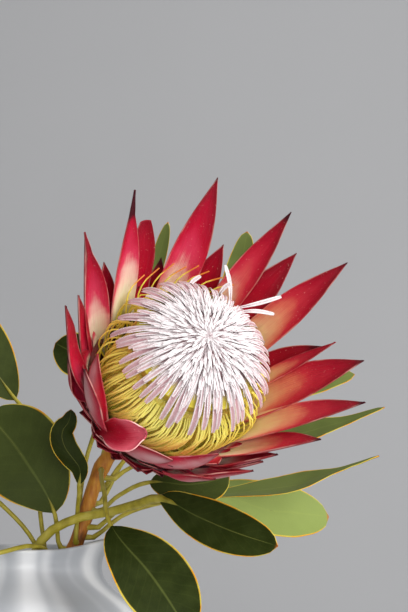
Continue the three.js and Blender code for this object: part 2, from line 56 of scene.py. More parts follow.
# %% Camera
LENS = 100
EYE = Vector((110.9, -1034.3, 244.6)) * MM
LOOKING_UP = 5.6
bpy.ops.object.select_all(action="DESELECT")
bpy.ops.object.camera_add(location=EYE, rotation=(math.radians(90 + LOOKING_UP), 0, 0))
camera = bpy.context.object
camera.data.lens = LENS
camera.data.sensor_fit = "VERTICAL"
camera.data.sensor_height = 36
bpy.context.scene.camera = camera
bpy.context.scene.view_settings.view_transform = "Standard"
print("camera:", LENS, "mm lens at", [round(x, 3) for x in EYE])

# %% [markdown]
# ## Helpers for modelling
# Every piece starts as a primitive, is shaped in edit mode, and is finished by modifiers. An operator
# works on whatever is selected, so each helper first selects exactly what it means.


# %% Selecting and applying
def select_nothing():
    bpy.ops.object.select_all(action="DESELECT")


def alone(piece):
    """Selects this piece and nothing else."""
    select_nothing()
    piece.select_set(True)
    bpy.context.view_layer.objects.active = piece
    return piece


def added(name):
    """Names the piece that an operator has just made."""
    piece = bpy.context.object
    piece.name = piece.data.name = name
    return piece


def copied(piece, name):
    twin = piece.copy()
    twin.data = piece.data.copy()
    bpy.context.collection.objects.link(twin)
    twin.name = twin.data.name = name
    return twin


def discard(*pieces):
    for piece in pieces:
        bpy.data.objects.remove(piece)


def coat(piece, *materials):
    for material in materials:
        piece.data.materials.append(material)


def settled(piece):
    """Moves the object's place, turn and size into its mesh."""
    alone(piece)
    bpy.ops.object.transform_apply(location=True, rotation=True, scale=True)
    return piece


def modified(piece, kind, **settings):
    alone(piece)
    modifier = piece.modifiers.new(kind.lower(), kind)
    for key, value in settings.items():
        setattr(modifier, key, value)
    bpy.ops.object.modifier_apply(modifier=modifier.name)
    return piece


def joined(pieces, name):
    """Makes one object of many, with its place in its mesh."""
    select_nothing()
    for piece in pieces:
        piece.select_set(True)
    bpy.context.view_layer.objects.active = pieces[0]
    bpy.ops.object.transform_apply(location=True, rotation=True, scale=True)
    bpy.ops.object.join()
    return added(name)


def enter_edit(parts="VERT"):
    bpy.ops.object.mode_set(mode="EDIT")
    bpy.ops.mesh.select_mode(type=parts)


def leave_edit():
    bpy.ops.object.mode_set(mode="OBJECT")


def pick(piece, test):
    """In edit mode, selects the vertices that pass the test."""
    cage = bmesh.from_edit_mesh(piece.data)
    for part in (*cage.faces, *cage.edges, *cage.verts):
        part.select = False
    for vertex in cage.verts:
        vertex.select = test(vertex.co)
    cage.select_flush_mode()
    bmesh.update_edit_mesh(piece.data)


def near(value, target):
    return abs(value - target) < 1e-4


def ramp(value, low, high):
    """0 below low, 1 above high, and a smooth rise between them."""
    t = min(1, max(0, (value - low) / (high - low)))
    return t * t * (3 - 2 * t)


def mix(a, b, share):
    return a + (b - a) * share


# %% [markdown]
# ## Two blanks: a strip and a tube
# Bracts, leaf blades and florets are strips, and stem, petioles and styles are tubes. Each is first made
# straight along X, from 0 to 1, and is laid along its own curve afterwards. Each vertex keeps its place on
# the straight piece in an attribute named growth: along it, across it, and a tone that varies from one
# copy to the next. The materials paint by it, so their patterns follow every bend.


# %% Strip and tube
def mark_growth(piece, mark=lambda co: (co.x, co.y, 0)):
    growth = piece.data.attributes.new("growth", "FLOAT_VECTOR", "POINT")
    for item, vertex in zip(growth.data, piece.data.vertices):
        item.vector = mark(vertex.co)


def set_tone(piece, tone):
    for item in piece.data.attributes["growth"].data:
        item.vector.z = tone


def strip(name, rows, columns, half_width, roll=lambda x: 1):
    """A strip along X from 0 to 1. half_width gives its half width along it. Its edges stand up by the
    square of their distance from the middle, times roll."""
    select_nothing()
    bpy.ops.mesh.primitive_grid_add(x_subdivisions=rows, y_subdivisions=columns, size=2)
    piece = added(name)
    piece.scale.x = 0.5
    piece.location.x = 0.5
    settled(piece)
    mark_growth(piece)
    places = sorted({round(vertex.co.x, 5) for vertex in piece.data.vertices})
    breadths = sorted({round(vertex.co.y, 5) for vertex in piece.data.vertices})
    enter_edit()
    for y in breadths:
        pick(piece, lambda co: near(co.y, y))
        bpy.ops.transform.translate(value=(0, 0, y * y))
    for x in places:
        pick(piece, lambda co: near(co.x, x))
        half = half_width(x)
        bpy.ops.transform.resize(value=(1, half, half * roll(x)), center_override=(0, 0, 0))
    leave_edit()
    return piece


def tube(name, rings, sides, radius):
    """A closed tube along X from 0 to 1. radius gives its radius along it."""
    select_nothing()
    bpy.ops.mesh.primitive_cylinder_add(
        vertices=sides, radius=1, depth=1, location=(0.5, 0, 0), rotation=(0, math.pi / 2, 0))
    piece = settled(added(name))
    enter_edit("EDGE")
    cage = bmesh.from_edit_mesh(piece.data)
    for edge in cage.edges:
        edge.select = abs(edge.verts[0].co.x - edge.verts[1].co.x) > 0.5
    bmesh.update_edit_mesh(piece.data)
    bpy.ops.mesh.subdivide(number_cuts=rings - 1)
    bpy.ops.mesh.select_mode(type="VERT")
    for i in range(rings + 1):
        x = i / rings
        pick(piece, lambda co: near(co.x, x))
        bpy.ops.transform.resize(value=(1, radius(x), radius(x)), center_override=(0, 0, 0))
    leave_edit()
    mark_growth(piece)
    return piece


def sized(blank, name, tone, breadth, height):
    """A copy of a straight blank with its tone, half width and height. The last two are in millimetres."""
    piece = copied(blank, name)
    set_tone(piece, tone)
    piece.data.transform(Matrix.Diagonal((1, breadth * MM, height * MM, 1)))
    return piece


def thick_middle(piece, edge):
    """A vertex group that is full in the middle of the strip and falls to edge at its rim."""
    group = piece.vertex_groups.new(name="body")
    for vertex, mark in zip(piece.data.vertices, piece.data.attributes["growth"].data):
        group.add([vertex.index], mix(1, edge, abs(mark.vector.y) ** 3), "REPLACE")


def thickened(piece, thickness, back=0):
    """Gives a laid strip its body. Its lower face takes the material that stands back places further on."""
    return modified(piece, "SOLIDIFY", thickness=thickness * MM, offset=0, vertex_group="body",
                    material_offset=back, use_even_offset=False)


# %% [markdown]
# ## Laying a blank along its curve
# A Curve modifier carries X along a path and keeps the piece's own Z turned to the path's up. The path is
# written in a small frame of its own whose Z is the side that the upper face should look to, so one
# function turns a blade to the light, whichever way it grows. A tube has no upper face, so it only needs
# to stay free of twist.


# %% Lay along a curve
def standing(start, direction, up):
    """A frame at a point, with Z up and X as near to the direction as Z allows."""
    z = up.normalized()
    x = (direction - direction.dot(z) * z).normalized()
    place = Matrix((x, z.cross(x), z)).transposed().to_4x4()
    place.translation = start
    return place


def lay_along(piece, points, up=None, start=0):
    """Bends a straight piece along a smooth curve. It covers the curve from start, a share, to its end."""
    points = [Vector(point) for point in points]
    run = points[-1] - points[0]
    place = standing(points[0], run, up if up else run.orthogonal())
    guide = bpy.data.curves.new("guide", "CURVE")
    guide.dimensions = "3D"
    guide.resolution_u = 16
    guide.twist_mode = "Z_UP" if up else "MINIMUM"
    spline = guide.splines.new("BEZIER")
    spline.bezier_points.add(len(points) - 1)
    to_guide = place.inverted()
    for knot, point in zip(spline.bezier_points, points):
        knot.co = to_guide @ point
        knot.handle_left_type = knot.handle_right_type = "AUTO"
    path = bpy.data.objects.new("guide", guide)
    bpy.context.collection.objects.link(path)
    path.matrix_world = piece.matrix_world = place
    length = spline.calc_length()
    stretch = Matrix.Diagonal((length * (1 - start), 1, 1, 1))
    piece.data.transform(Matrix.Translation((length * start, 0, 0)) @ stretch)
    modified(piece, "CURVE", object=path, deform_axis="POS_X")
    discard(path)
    return settled(piece)


def smooth(piece, angle=60):
    alone(piece)
    bpy.ops.object.shade_smooth_by_angle(angle=math.radians(angle))
    return piece


# %% [markdown]
# ## Helpers for materials
# A colour that changes over a petal is a small sum: how far along it a point lies, how near the edge,
# and a little noise. Value lets such a sum be written as plain Python, and each operator on it adds the
# Math node that works it out. Finish holds one material and has a single method for every other node.


# %% Shader maths
def srgb(red, green, blue):
    """A colour as seen on a screen, 0 to 255, turned into the linear light that shaders use."""
    channels = [c / 255 for c in (red, green, blue)]
    linear = [c / 12.92 if c <= 0.04045 else ((c + 0.055) / 1.055) ** 2.4 for c in channels]
    return (*linear, 1)


class Value:
    """A number that changes over the surface."""

    def __init__(self, finish, socket):
        self.finish = finish
        self.socket = socket

    def math(self, operation, first, second=0.0):
        return self.finish.node("ShaderNodeMath", {"operation": operation}, {0: first, 1: second})

    def __add__(self, other):
        return self.math("ADD", self, other)

    def __sub__(self, other):
        return self.math("SUBTRACT", self, other)

    def __rsub__(self, other):
        return self.math("SUBTRACT", other, self)

    def __mul__(self, other):
        return self.math("MULTIPLY", self, other)

    def __pow__(self, other):
        return self.math("POWER", self, other)

    def __abs__(self):
        return self.math("ABSOLUTE", self)

    def sine(self):
        return self.math("SINE", self)

    __radd__ = __add__
    __rmul__ = __mul__

    def clear(self, low, high):
        """0 below low and 1 above high, with a smooth rise between them."""
        settings = {"interpolation_type": "SMOOTHSTEP"}
        sockets = {"Value": self, "From Min": low, "From Max": high}
        return self.finish.node("ShaderNodeMapRange", settings, sockets)


class Finish:
    """One material. Sockets that stay the same all over are given as numbers when it is made."""

    def __init__(self, name, **constants):
        self.material = bpy.data.materials.new(name)
        self.material.use_nodes = True
        self.tree = self.material.node_tree
        self.surface = self.tree.nodes["Principled BSDF"]
        for socket, value in constants.items():
            self.surface.inputs[socket.replace("_", " ")].default_value = value

    def feed(self, socket, value):
        if isinstance(value, Value):
            self.tree.links.new(value.socket, socket)
        else:
            socket.default_value = value

    def node(self, kind, settings=None, inputs=None, output=0):
        node = self.tree.nodes.new(kind)
        for key, value in (settings or {}).items():
            if key == "stops":
                while len(node.color_ramp.elements) < len(value):
                    node.color_ramp.elements.new(1)
                for element, (position, colour) in zip(node.color_ramp.elements, value):
                    element.position = position
                    element.color = colour
            else:
                setattr(node, key, value)
        for key, value in (inputs or {}).items():
            self.feed(node.inputs[key], value)
        return Value(self, node.outputs[output])

    def split(self, vector):
        return [self.node("ShaderNodeSeparateXYZ", None, {0: vector}, axis) for axis in range(3)]

    def growth(self):
        """Along, across and tone of the piece, as marked on its straight blank."""
        return self.split(self.node("ShaderNodeAttribute", {"attribute_name": "growth"}, output="Vector"))

    def point(self, x, y, z):
        return self.node("ShaderNodeCombineXYZ", None, {0: x, 1: y, 2: z})

    def place(self, stretch=(1, 1, 1)):
        """Object coordinates in metres, stretched along each axis."""
        coordinates = self.node("ShaderNodeTexCoord", output="Object")
        return self.node("ShaderNodeVectorMath", {"operation": "MULTIPLY"}, {0: coordinates, 1: stretch})

    def noise(self, at, scale, detail=3.0):
        return self.node("ShaderNodeTexNoise", None, {"Vector": at, "Scale": scale, "Detail": detail})

    def ramp(self, value, stops):
        """Stops are written as position, red, green and blue, the last three as seen on a screen."""
        stops = [(position, srgb(*colour)) for position, *colour in stops]
        return self.node("ShaderNodeValToRGB", {"stops": stops}, {0: value})

    def blend(self, share, first, second):
        settings = {"data_type": "RGBA"}
        return self.node("ShaderNodeMix", settings, {0: share, 6: first, 7: second}, output=2)

    def paint(self, colour, roughness=None, height=None, depth=0.0002):
        """Links what varies to the surface. Height is turned into a bump of the given depth in metres."""
        self.feed(self.surface.inputs["Base Color"], colour)
        if roughness is not None:
            self.feed(self.surface.inputs["Roughness"], roughness)
        if height is not None:
            bump = self.node("ShaderNodeBump", None, {"Height": height, "Distance": depth, "Strength": 1.0})
            self.feed(self.surface.inputs["Normal"], bump)
        return self.material


# %% [markdown]
# ## Turned pieces
# The vase, the cup of the flower head and the column of styles are round about an axis. Each is grown
# from a filled disc: its rim is extruded upwards and resized once for every point of the profile, and the
# last ring is closed again.


# %% Turned form
def turned(name, profile, sides):
    """A closed body from a profile of [radius, height] in millimetres that starts and ends on the axis."""
    select_nothing()
    radius, height = profile[0]
    bpy.ops.mesh.primitive_circle_add(
        vertices=sides, radius=radius * MM, location=(0, 0, height * MM), fill_type="TRIFAN")
    piece = settled(added(name))
    enter_edit()
    pick(piece, lambda co: math.hypot(co.x, co.y) > radius * MM / 2)
    for next_radius, next_height in profile[1:]:
        bpy.ops.mesh.extrude_region_move(
            TRANSFORM_OT_translate={"value": (0, 0, (next_height - height) * MM)})
        share = next_radius / radius
        bpy.ops.transform.resize(value=(share, share, 1))
        radius, height = next_radius, next_height
    bpy.ops.mesh.extrude_region_move()
    bpy.ops.mesh.merge(type="CENTER")
    bpy.ops.mesh.select_all(action="SELECT")
    bpy.ops.mesh.normals_make_consistent(inside=False)
    leave_edit()
    return piece


# %% [markdown]
# ## Vase
# The vase is thrown pottery with a thick white glaze: a high shoulder, a short neck, and a rim that is
# drawn out into a pouring lip on the side that the stem leans to. The lip is pulled as a potter pulls it,
# by moving one place on the rim and letting the clay around it follow, which is what proportional
# editing does. A subdivision surface then rounds the wall.

# %% Vase shape
VASE_HEIGHT = 200
NECK_RADIUS = 38
LIP_REACH = 15
LIP_RISE = 6
LIP_SPREAD = 36
FLOOR = 12
VASE_PROFILE = [
    (48, 0), (52, 4), (60, 17), (67, 32), (73, 49), (77, 66), (79.5, 86), (80, 105), (80, 122), (80, 138),
    (76, 158), (67, 168), (54, 175.5), (42, 182), (NECK_RADIUS, 190), (40.5, 196), (42, 199),
    (41, VASE_HEIGHT + 0.2), (39, VASE_HEIGHT), (36.5, 196), (34, 190), (36, 182), (50, 172.5),
    (63, 164.5), (71.5, 155), (76, 137), (76, 105), (73, 67), (62.5, 33), (47, FLOOR),
]
vase = turned("glazed_vase", VASE_PROFILE, 48)
enter_edit()
pick(vase, lambda co: co.x > NECK_RADIUS * MM and abs(co.y) < MM and co.z > (VASE_HEIGHT - 1.5) * MM)
bpy.ops.transform.translate(
    value=(LIP_REACH * MM, 0, LIP_RISE * MM), use_proportional_edit=True, use_proportional_connected=True,
    proportional_edit_falloff="SMOOTH", proportional_size=LIP_SPREAD * MM)
leave_edit()
modified(vase, "SUBSURF", levels=2, render_levels=2)
smooth(vase)
print("vase:", len(vase.data.polygons), "faces, widest", round(vase.dimensions.x / MM), "mm")

# %% [markdown]
# The glaze is glossy but soft. Upright light and grey streaks are painted on it as painted reflections, and
# the same bands give it a faint bump. The streaks are noise read by the direction out from the axis alone,
# so each runs straight down. A fine noise keeps the gloss from being perfect.

# %% Glaze
glaze = Finish("glaze", Coat_Weight=0.3, Coat_Roughness=0.3, Specular_IOR_Level=0.4)
outward = glaze.node("ShaderNodeVectorMath", {"operation": "NORMALIZE"}, {0: glaze.place((1, 1, 0))})
reflection_bands = glaze.noise(outward, 3.4, 1)
clouds = glaze.noise(glaze.place(), 14, 2)
# Painted reflections: these bands turn the white glaze light or grey in upright streaks.
painted_reflection = (reflection_bands * 0.85 + clouds * 0.15).clear(0.36, 0.64)
white = glaze.blend(painted_reflection, srgb(226, 227, 228), srgb(172, 175, 179))
speckle = glaze.noise(glaze.place(), 900, 1)
coat(vase, glaze.paint(
    white, roughness=speckle * 0.12 + 0.3, height=reflection_bands * 0.6 + clouds, depth=0.0004))
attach(vase, "root")
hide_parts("vase")

# %% [markdown]
# ## Water
# The water's solid already has the right shape, with its hole for the stem, so it stays and only gets a
# clear finish. Nothing but its surface shows, deep in the neck.

# %% Clear water
clear = Finish("still_water", Roughness=0.05, IOR=1.33, Alpha=0.55)
ripple = clear.noise(clear.place(), 120, 2)
wet = clear.blend(ripple, srgb(176, 190, 184), srgb(150, 168, 160))
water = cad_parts["water"]
water.data.materials.clear()
coat(water, clear.paint(wet, height=ripple, depth=0.0001))

# %% [markdown]
# ## Stem
# The stem is woody, an orange-brown young bark with yellow-green streaks, and swells at the nodes where
# leaves grew. It is one tube laid along the points that the frame's stem has, with its rings resized to
# make the swellings.

# %% Stem shape
HEAD_BASE = Vector((68.5, -25.7, 270.6))
HEAD_AXIS = Vector((0.381, -0.836, 0.395)).normalized()
HEAD_SIDE = Vector((0.780, 0.061, -0.623))
STEM_RADIUS = 4.6
STEM = [
    (-22, 3, FLOOR + 2.2), (4, 0, 100), (20, -2, 158), (28, -3, 188), (33.5, -3, 201), (39.3, -2, 219),
    (43.5, -0.5, 234), (49, 1, 248), (56, -1.5, 258), HEAD_BASE - 9 * HEAD_AXIS, HEAD_BASE + 2 * HEAD_AXIS,
]


def stem_radius(x):
    knots = sum(0.9 * math.exp(-(((x - at) / 0.016) ** 2)) for at in (0.655, 0.74, 0.845, 0.9))
    return (STEM_RADIUS + knots + 1.6 * ramp(x, 0.93, 1) - 0.3) * MM


def metres(points):
    return [Vector(point) * MM for point in points]


stem = tube("woody_stem", 90, 20, stem_radius)
lay_along(stem, metres(STEM))
smooth(stem)
print("stem:", len(stem.data.polygons), "faces")

# %% Bark
bark = Finish("bark", Specular_IOR_Level=0.4)
streaks = bark.noise(bark.place((1, 1, 0.18)), 420, 5)
patches = bark.noise(bark.place(), 60, 3)
rust = bark.ramp(patches * 0.6 + streaks * 0.4, [
    (0.32, 110, 62, 16), (0.44, 180, 108, 28), (0.56, 206, 144, 48), (0.7, 176, 160, 60),
])
coat(stem, bark.paint(rust, roughness=streaks * 0.3 + 0.4, height=streaks, depth=0.0006))
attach(stem, "root")
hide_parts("stem")

# %% [markdown]
# ## Leaf finish
# A protea leaf is leathery, dark green above and paler below, with a pale midrib, faint side veins that
# lean towards the tip, and a thin orange margin. Growth gives all of it: across says how near the margin
# is, and along and across together draw the veins. Tone paints the leaves behind the flower lighter, as
# painted light.


# %% Leaf finish
def leaf_finish(name, deep, bright, gloss):
    finish = Finish(name, Specular_IOR_Level=0.1)
    along, across, tone = finish.growth()
    side = abs(across)
    mottle = finish.noise(finish.place(), 110, 4)
    cells = finish.noise(finish.place(), 1400, 2)
    vein = ((along * 11 - side * 2.6 + mottle * 0.5) * math.tau).sine().clear(0.8, 1) * 0.02
    # Painted light: tone lightens a whole leaf towards the bright green.
    green = finish.blend(tone * 0.9 + mottle.clear(0.3, 0.8) * 0.05, deep, bright)
    green = finish.blend(vein, green, srgb(120, 136, 62))
    green = finish.blend((1 - side.clear(0.01, 0.05)) * 0.14, green, srgb(150, 160, 80))
    rim = (side + mottle * 0.03).clear(0.955, 0.995)
    rim_colour = finish.blend(mottle.clear(0.4, 0.6), srgb(214, 150, 34), srgb(196, 176, 70))
    green = finish.blend(rim, green, rim_colour)
    tip = (along + mottle * 0.04).clear(1.0, 1.03)
    green = finish.blend(tip, green, srgb(176, 92, 40))
    return finish.paint(green, roughness=mottle * 0.25 + gloss, height=cells * 0.4 + vein, depth=0.0003)


LEAF_UPPER = leaf_finish("leaf_upper", srgb(29, 38, 0), srgb(132, 146, 78), 0.46)
LEAF_UNDER = leaf_finish("leaf_under", srgb(66, 80, 32), srgb(140, 156, 92), 0.46)

stalk = Finish("leaf_stalk", Specular_IOR_Level=0.4)
along, _, base = stalk.growth()
flecks = stalk.noise(stalk.place((1, 1, 0.6)), 150, 3)
stalk_colour = stalk.ramp(flecks, [(0.3, 140, 126, 30), (0.5, 170, 156, 46), (0.7, 186, 172, 76)])
stalk_colour = stalk.blend((along - base).clear(-0.02, 0.12) * 0.85, stalk_colour, srgb(66, 76, 22))
LEAF_STALK = stalk.paint(stalk_colour, roughness=flecks * 0.3 + 0.35, height=flecks, depth=0.0001)

# %% [markdown]
# ## Leaves
# The fifteen leaves stand where the frame has them. One straight blade is modelled for each taper, and
# each leaf is a copy of one, scaled to its own width and curl and laid along its midrib. Displacement by
# soft clouds gives it waves, and Solidify a leathery body that thins to the margin. The stalk is one tube
# that starts in the bark, carries the blade and runs on in it as the midrib.

# %% Leaf shapes
PETIOLE_RADIUS = 1.35
PETIOLE_FOOT = 3
LEAF_THICKNESS = 1.0
WAVE_HEIGHT = 4
# Height of the root on the stem, way out of it, points of the stalk, points of the midrib from the base of
# the blade to its tip, width, side the upper face looks to, lift of the margins, stoutness, tone (painted
# light that makes the leaf lighter), and how far the outer half is tapered.
LEAVES = [
    (165, (-0.5, -0.8, 0.3), [(9, -12, 186), (14, -16, 204), (31, -20, 216), (57, -25, 222), (74, -42, 227)],
     [(86, -58, 230), (108, -78, 220), (128, -94, 212), (151, -106, 205)], 26,
     (-0.45, -0.8, 0.15), 2, 2.1, 0.02, 0),
    (246, (0.1, -1, -0.1), [(50, -22, 243), (53, -44, 234)],
     [(59, -70, 214), (82.5, -85.5, 187), (103, -96.5, 158)], 41, (0.1, -0.97, 0.3), 2.5, 1, 0, 0),
    (223, (0.9, -0.4, 0.3), [(60, -15, 231)],
     [(79, -27, 239), (103, -31, 237), (126, -28, 242)], 32, (0.1, -0.8, 0.6), 2, 1, 0.15, 0),
    (213, (0.9, -0.2, 0.3), [(61, -9, 223), (85, -8, 227)],
     [(108, -8, 230), (160, -18, 236), (214, -31, 254)], 36, (-0.15, -0.28, 0.95), 2.5, 1, 0.5, 0.8),
    (207, (0.8, 0.5, 0.2), [(62, 7, 219), (88, 18, 227)],
     [(112, 27, 231), (152, 42, 221), (190, 53, 217)], 42, (0.1, -0.8, 0.6), 2, 1, 1, 0),
    (243, (0.9, 0.4, 0), [(66, 10, 248), (96, 16, 256)],
     [(124, 19, 262), (172, 18, 268), (222, 12, 284.5)], 26, (0.05, -0.5, 0.86), 2, 1, 0.4, 0.65),
    (235, (0.5, 0.85, 0), [(64, 14, 254), (96, 26, 272)],
     [(126, 34, 285), (166, 38, 296), (206, 37, 306)], 22, (0, -0.7, 0.7), 2, 1, 0.6, 0),
    (231, (0, 1, 0), [(50, 24, 262), (60, 38, 300)],
     [(72, 38, 344), (81, 30, 375), (88.5, 15, 400)], 9, (0.1, -0.97, -0.1), 1, 1, 0.6, 0),
    (226, (0.6, 0.75, 0), [(61, 24, 252), (84, 42, 287)],
     [(118, 51, 335), (134, 48, 375), (138.5, 41, 398)], 18, (-0.1, -0.97, -0.1), 2, 1, 0.5, 0),
    (222, (-0.5, 0.85, 0), [(38, 14, 250), (44, 18, 272), (49, 15, 291)],
     [(46, 14, 304), (35, 12, 315), (19.5, 8, 324)], 27, (-0.2, -0.95, 0.1), 2, 1, 0, 0),
    (184, (-0.9, 0.2, 0.5), [(14, 0, 206), (9, 9, 250), (6, 14, 276)],
     [(-6, 18, 290), (-27, 20, 320), (-46, 20, 352)], 37, (0.35, -0.93, 0.1), 2.5, 1, 0.1, 0),
    (197, (-0.95, -0.2, 0.3), [(23, -7, 209)],
     [(21.5, -12, 221), (4, -14, 252), (-20, -5, 281)], 54, (-0.15, -0.95, 0.28), 2, 1, 0.15, 0),
    (203, (0, -1, 0), [(35, -12.5, 214), (36, -19, 224), (37.6, -30, 233)],
     [(38, -37, 238), (39, -41.5, 242.5), (38.5, -45, 248), (34.5, -47.5, 253.5), (30, -49, 260.5),
      (29, -50, 268), (33, -50.5, 274.5), (34, -50, 281)], 14, (0.1, -0.98, 0.15), 1.5, 1, 0, 0),
    (180, (-0.8, -0.3, 0.6), [(8, -6, 205), (-11, -8, 226)],
     [(-32, -12, 243), (-66, -18, 264), (-98, -20, 272)], 42, (-0.3, -0.4, 0.86), 2, 1, 0.2, 0),
    (184, (-0.3, -0.95, 0), [(20, -18, 196), (11, -40, 202.4), (-6, -53, 199)],
     [(-22, -62, 196), (-52, -84, 184), (-80, -104, 160)], 40, (-0.2, -0.5, 0.84), 2, 1, 0.2, 0),
]


def stem_at(height):
    """Centre and direction of the stem at a height, in millimetres."""
    for low, high in zip(STEM, STEM[1:]):
        if low[2] <= height <= high[2]:
            low, high = Vector(low), Vector(high)
            return low.lerp(high, (height - low.z) / (high.z - low.z)), (high - low).normalized()


def leaf_share(taper):
    def share(x):
        return max(0.04, math.sin(math.pi * x ** 1.2) ** 0.5) * (1 - taper * ramp(x, 0.5, 0.85))
    return share


leaf_blanks = {}
for taper in sorted({leaf[-1] for leaf in LEAVES}):
    leaf_blank = strip("leaf_blank", 26, 8, leaf_share(taper))
    thick_middle(leaf_blank, 0.4)
    coat(leaf_blank, LEAF_UPPER, LEAF_UNDER)
    leaf_blanks[taper] = leaf_blank
waves = bpy.data.textures.new("waves", "CLOUDS")
waves.noise_scale = 0.035

for number, leaf in enumerate(LEAVES, 1):
    root, way, petiole, midrib, width, face, curl, stout, tone, taper = leaf
    centre, stem_way = stem_at(root)
    out = Vector(way)
    out = (out - out.dot(stem_way) * stem_way).normalized()
    foot = [centre + out * (STEM_RADIUS - 1), centre + out * (STEM_RADIUS + PETIOLE_FOOT)]
    path = metres([*foot, *petiole, *midrib])
    chords = [(b - a).length for a, b in zip(path, path[1:])]
    base = sum(chords[:len(petiole) + 2]) / sum(chords)

    blade = sized(leaf_blanks[taper], "blade", tone, width / 2, curl)
    lay_along(blade, path, Vector(face), base)
    modified(blade, "DISPLACE", texture=waves, texture_coords="GLOBAL", strength=WAVE_HEIGHT * MM)
    thickened(blade, LEAF_THICKNESS, 1)

    def stalk_radius(x):
        swollen = PETIOLE_RADIUS * stout * (1 + 0.5 * (1 - ramp(x, 0, 0.08)))
        return mix(swollen, 0.12, ramp(x, base - 0.03, base + 0.14)) * MM

    petiole_tube = tube("stalk", 24, 8, stalk_radius)
    coat(petiole_tube, LEAF_STALK)
    set_tone(petiole_tube, base)
    lay_along(petiole_tube, path)
    piece = smooth(joined([blade, petiole_tube], f"protea_leaf_{number}"), 70)
    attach(piece, "root")
    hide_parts(f"leaf_{number}")
discard(*leaf_blanks.values())
print("leaves:", len(LEAVES), "with", len(piece.data.polygons), "faces each")

# %% [markdown]
# ## Head frame
# The flower head faces the viewer and leans to the left. It is modelled upright about its own axis and
# then stood on the stem by one matrix, so every point in it can be given by its distance from the axis,
# its height over the base and its angle about the axis.

# %% Head frame
side = (HEAD_SIDE - HEAD_SIDE.dot(HEAD_AXIS) * HEAD_AXIS).normalized()
HEAD = Matrix((side, HEAD_AXIS.cross(side), HEAD_AXIS)).transposed().to_4x4()
HEAD.translation = HEAD_BASE * MM
CUP_FLOOR = 25
CUP_RIM = 58
CUP_OUTSIDE = [(6.5, 0), (12, 4), (22, 11), (33, 23), (41, 37), (46, 50), (47.5, CUP_RIM)]
CUP_INSIDE = [(45, CUP_RIM), (43, 50), (37, 38), (28, 29), (16, CUP_FLOOR)]
BRACT_FLARE = 0.385


def polar(radius, height, angle):
    """A point in the upright head. The angle is in degrees."""
    turn = math.radians(angle)
    return Vector((radius * math.cos(turn), radius * math.sin(turn), height))


def cup_radius(height):
    for (r0, z0), (r1, z1) in zip(CUP_OUTSIDE, CUP_OUTSIDE[1:]):
        if height <= z1:
            return mix(r0, r1, (height - z0) / (z1 - z0))
    return CUP_OUTSIDE[-1][0] + (height - CUP_RIM) * BRACT_FLARE


def lay_in_head(piece, points, up=None):
    lay_along(piece, metres(points), up)
    piece.matrix_world = HEAD
    return piece


print("head: axis", [round(x, 3) for x in HEAD_AXIS])

# %% [markdown]
# ## Bract finish
# The inner face of a bract is cream at its base and flushes through salmon and rose to crimson at its
# point, earlier along its edges than in its middle. The flush is one number, the distance along plus a
# share of the square of the distance across, with a little streaky noise, and a colour ramp reads it.
# The outer face is red under a silvery down. Dry points and scales turn maroon brown.


# %% Bract finish
def bract_finish(name, stops, warm_stops, edge_colour, down, rim=0.35):
    finish = Finish(name, Specular_IOR_Level=0.22)
    along, across, tone = finish.growth()
    side = abs(across - tone * 0.25)
    threads = finish.noise(finish.point(along * 2, across * 11, tone * 50), 3, 4)
    blotches = finish.noise(finish.place(), 60, 3)
    spots = finish.noise(finish.place(), 900, 1)
    x = finish.split(finish.place())[0]
    flush = along + side ** 2 * 0.17 + (threads - 0.5) * 0.16 + (blotches - 0.5) * 0.2
    colour = finish.blend(x.clear(0.1, 0.17), finish.ramp(flush, stops), finish.ramp(flush, warm_stops))
    colour = finish.blend(threads.clear(0.5, 0.8) * 0.3, colour, srgb(236, 104, 124))
    silver = (1 - abs(across)).clear(0.1, 0.8) * along.clear(0.25, 0.6) * (1 - along.clear(0.85, 1.05))
    silver = silver * (blotches.clear(0.25, 0.6) * 0.6 + 0.4) * down
    colour = finish.blend(silver, colour, srgb(224, 172, 174))
    colour = finish.blend(spots.clear(0.7, 0.76) * 0.35, colour, srgb(238, 180, 170))
    pale_edge = (abs(across) + (blotches - 0.5) * 0.1).clear(0.93, 1) * along.clear(0.15, 0.5)
    pale_edge = pale_edge * (blotches.clear(0.4, 0.6) * 0.8 + 0.2) * rim
    colour = finish.blend(pale_edge, colour, edge_colour)
    dryness = abs(tone)
    dry = along + dryness.clear(0.9, 1) * 0.12 + dryness * 0.08 + (blotches - 0.5) * 0.08
    colour = finish.blend(dry.clear(0.99, 1.05), colour, srgb(70, 10, 24))
    return finish.paint(colour, roughness=threads * 0.3 + 0.36, height=threads + spots * 0.1, depth=0.0005)


# The first stop turns the foot of a bract olive: partly its own colour, partly painted shade under the
# styles.
BRACT_INNER = bract_finish("bract_inner", [
    (0.20, 196, 184, 96), (0.34, 255, 246, 216), (0.48, 252, 212, 196),
    (0.60, 220, 58, 92), (0.76, 192, 4, 48), (1.0, 148, 0, 30)],
    [(0.20, 226, 194, 88), (0.42, 238, 184, 120), (0.58, 232, 132, 100),
     (0.69, 206, 44, 60), (0.82, 180, 6, 40), (1.0, 146, 0, 26)],
    srgb(250, 206, 190), 0.0)
